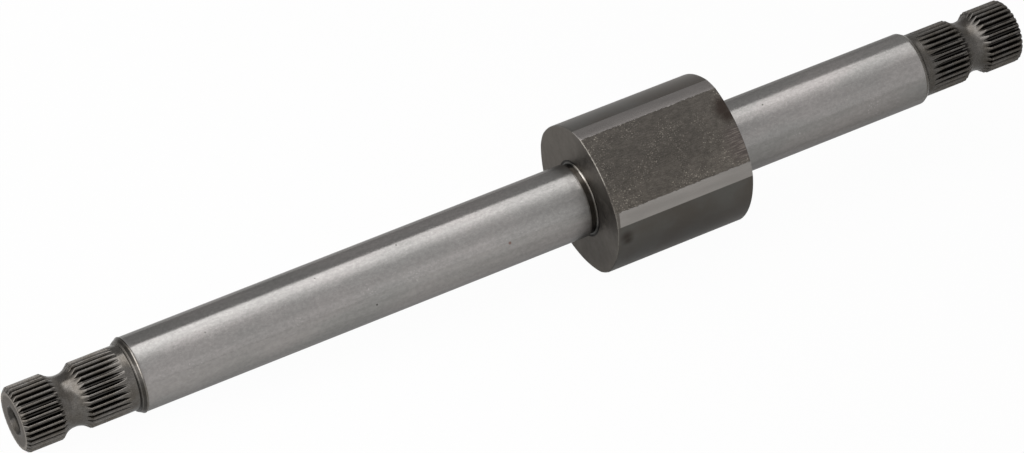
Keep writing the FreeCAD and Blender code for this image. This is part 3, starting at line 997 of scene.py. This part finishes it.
studio = {
    "floorSize": 6.0,
    "floorNear": (0.55, 0.55, 0.54),
    "floorFar": (0.37, 0.365, 0.355),
    "floorFade": (-0.06, 0.09),  # metres along, between which the near colour passes into the far one
    "floorWhite": 0.97,      # share of plain white in what the camera sees of the floor
    "floorGloss": (0.47, 0.19, 0.36),  # the same in what metal reflects of it, from below the shaft outwards
    "glossBelow": (0.006, 0.014),  # metres from the shaft's line where the first share ends
    "glossBeside": (0.02, 0.06),   # and where the second one ends
    "farGloss": 0.9,
    "peak": 2.9,
    # turn and level: the back wall, the long soft box above, then the front of the room
    "nearRoom": ((-180, 0.38), (-90, 0.41), (-45, 0.4), (-35, 0.42), (-32.5, 2.85), (-8, 2.78), (-1.5, 2.04),
                 (6, 1.4), (14.5, 1.0), (24, 0.86), (27, 0.8), (31, 0.88), (46.5, 0.87), (62.5, 0.97),
                 (78, 0.97), (90, 0.92), (115, 0.76), (180, 0.58)),
    "farRoom": ((-180, 0.46), (-90, 0.51), (-45, 0.48), (-34.5, 0.47), (-32, 1.25), (-8, 1.28), (-1.5, 1.15),
                (6, 0.95), (14.5, 0.8), (22, 0.63), (30, 0.56), (46.5, 0.53), (62.5, 0.6), (78, 0.64),
                (90, 0.7), (180, 0.5)),
    # the left end of the room, with a second soft box, and the bare right end
    "leftRoom": ((-180, 0.4), (-90, 0.5), (-53, 1.2), (-21, 1.7), (-6, 2.6), (20, 2.9), (46, 2.6), (75, 1.7),
                 (95, 0.7), (180, 0.45)),
    "rightRoom": ((-180, 0.5), (-75, 0.75), (-30, 0.62), (25, 0.58), (46, 0.75), (87, 0.7), (180, 0.5)),
    # how far the light's way leans along the axis, negative to the left, where one room passes to the next
    "nearToFar": (0.27, 0.43),
    "toRight": (0.43, 0.57),
    "toLeft": (0.19, -0.25),  # counted from the next values, which hold at the back, the top and the front
    "leftBegins": (-0.38, 0.12, -0.6),
    "backToTop": (-14, 4),
    "topToFront": (4, 60),
    "warm": (1.0, 0.982, 0.975),
}


def makeFloor():
    bm = bmesh.new()
    bmesh.ops.create_grid(bm, x_segments=1, y_segments=1, size=studio["floorSize"] / 2)
    mesh = bpy.data.meshes.new("floor")
    bm.to_mesh(mesh)
    bm.free()
    floor = bpy.data.objects.new("floor", mesh)
    bpy.context.scene.collection.objects.link(floor)
    material = bpy.data.materials.new("floorPaper")
    material.use_nodes = True
    tree = material.node_tree
    tree.nodes.clear()
    paper = addNode(tree, "ShaderNodeBsdfDiffuse")
    coords = addNode(tree, "ShaderNodeTexCoord")
    parts = addNode(tree, "ShaderNodeSeparateXYZ")
    tree.links.new(coords.outputs["Object"], parts.inputs[0])
    farther = ramped(tree, parts.outputs["X"], *studio["floorFade"])
    tree.links.new(blended(tree, farther, studio["floorNear"], studio["floorFar"]), paper.inputs["Color"])
    below, beside, front = studio["floorGloss"]
    away = maths(tree, "ABSOLUTE", parts.outputs["Y"])
    gloss = ramped(tree, away, *studio["glossBeside"], beside, front)
    gloss = ramped(tree, away, *studio["glossBelow"], below, gloss)
    right = ramped(tree, parts.outputs["X"], 0.0, studio["floorFade"][1], 1.0, studio["farGloss"])
    gloss = times(tree, gloss, right)
    glow = addNode(tree, "ShaderNodeEmission")
    path = addNode(tree, "ShaderNodeLightPath")
    mix = addNode(tree, "ShaderNodeMixShader")
    out = addNode(tree, "ShaderNodeOutputMaterial")
    seen = maths(tree, "MULTIPLY", path.outputs["Is Camera Ray"], studio["floorWhite"])
    bent = maths(tree, "MAXIMUM", path.outputs["Is Glossy Ray"], path.outputs["Is Transmission Ray"])
    share = maths(tree, "MAXIMUM", seen, times(tree, bent, gloss))
    tree.links.new(share, mix.inputs[0])
    tree.links.new(paper.outputs[0], mix.inputs[1])
    tree.links.new(glow.outputs[0], mix.inputs[2])
    tree.links.new(mix.outputs[0], out.inputs["Surface"])
    mesh.materials.append(material)


def roomLevels(tree, position, stops):
    # a room's levels over the turn, as shares of the peak
    ramp = addNode(tree, "ShaderNodeValToRGB")
    tree.links.new(position, ramp.inputs[0])
    elements = ramp.color_ramp.elements
    for turn, level in stops[1:-1]:
        elements.new(turn / 360 + 0.5)
    for element, (turn, level) in zip(elements, stops):
        element.color = tuple(level / studio["peak"] * part for part in studio["warm"]) + (1.0,)
    return ramp.outputs[0]


def lightWorld():
    world = bpy.data.worlds.new("studio")
    world.use_nodes = True
    tree = world.node_tree
    tree.nodes.clear()
    coords = addNode(tree, "ShaderNodeTexCoord")
    mapping = addNode(tree, "ShaderNodeMapping", vector_type="POINT")
    mapping.inputs["Rotation"].default_value = (0, math.radians(layout["climb"]), 0)
    tree.links.new(coords.outputs["Generated"], mapping.inputs["Vector"])
    along, _, turn = shaftParts(tree, mapping.outputs["Vector"])
    position = maths(tree, "MULTIPLY_ADD", turn, 1 / 360, 0.5)
    near, far, left, right = (
        roomLevels(tree, position, studio[name]) for name in ("nearRoom", "farRoom", "leftRoom", "rightRoom")
    )
    light = blended(tree, ramped(tree, along, *studio["nearToFar"]), near, far)
    # the second soft box begins further left at the back and at the front
    back, top, front = studio["leftBegins"]
    begins = ramped(tree, turn, *studio["topToFront"], top, front)
    begins = ramped(tree, turn, *studio["backToTop"], back, begins)
    past = maths(tree, "SUBTRACT", along, begins)
    light = blended(tree, ramped(tree, past, *studio["toLeft"]), light, left)
    light = blended(tree, ramped(tree, along, *studio["toRight"]), light, right)
    room = addNode(tree, "ShaderNodeBackground")
    room.inputs["Strength"].default_value = studio["peak"]
    tree.links.new(light, room.inputs["Color"])
    out = addNode(tree, "ShaderNodeOutputWorld")
    tree.links.new(room.outputs[0], out.inputs["Surface"])
    bpy.context.scene.world = world


makeFloor()
lightWorld()

# The camera that took the photo, in metres, degrees and mm
cameraSetup = {
    "place": (-0.36833516, -0.63133442, 0.58983939),
    "turn": (51.692033, -1.023392, -29.135231),
    "lens": 157.8185,
    "sensor": 36,
    "nearest": 0.01,
}
cameraData = bpy.data.cameras.new("photoCamera")
cameraData.lens = cameraSetup["lens"]
cameraData.sensor_width = cameraSetup["sensor"]
cameraData.clip_start = cameraSetup["nearest"]
camera = bpy.data.objects.new("photoCamera", cameraData)
camera.location = cameraSetup["place"]
camera.rotation_euler = [math.radians(part) for part in cameraSetup["turn"]]
bpy.context.scene.collection.objects.link(camera)
bpy.context.scene.camera = camera
bpy.context.scene.view_settings.view_transform = "Standard"
print("studio set")
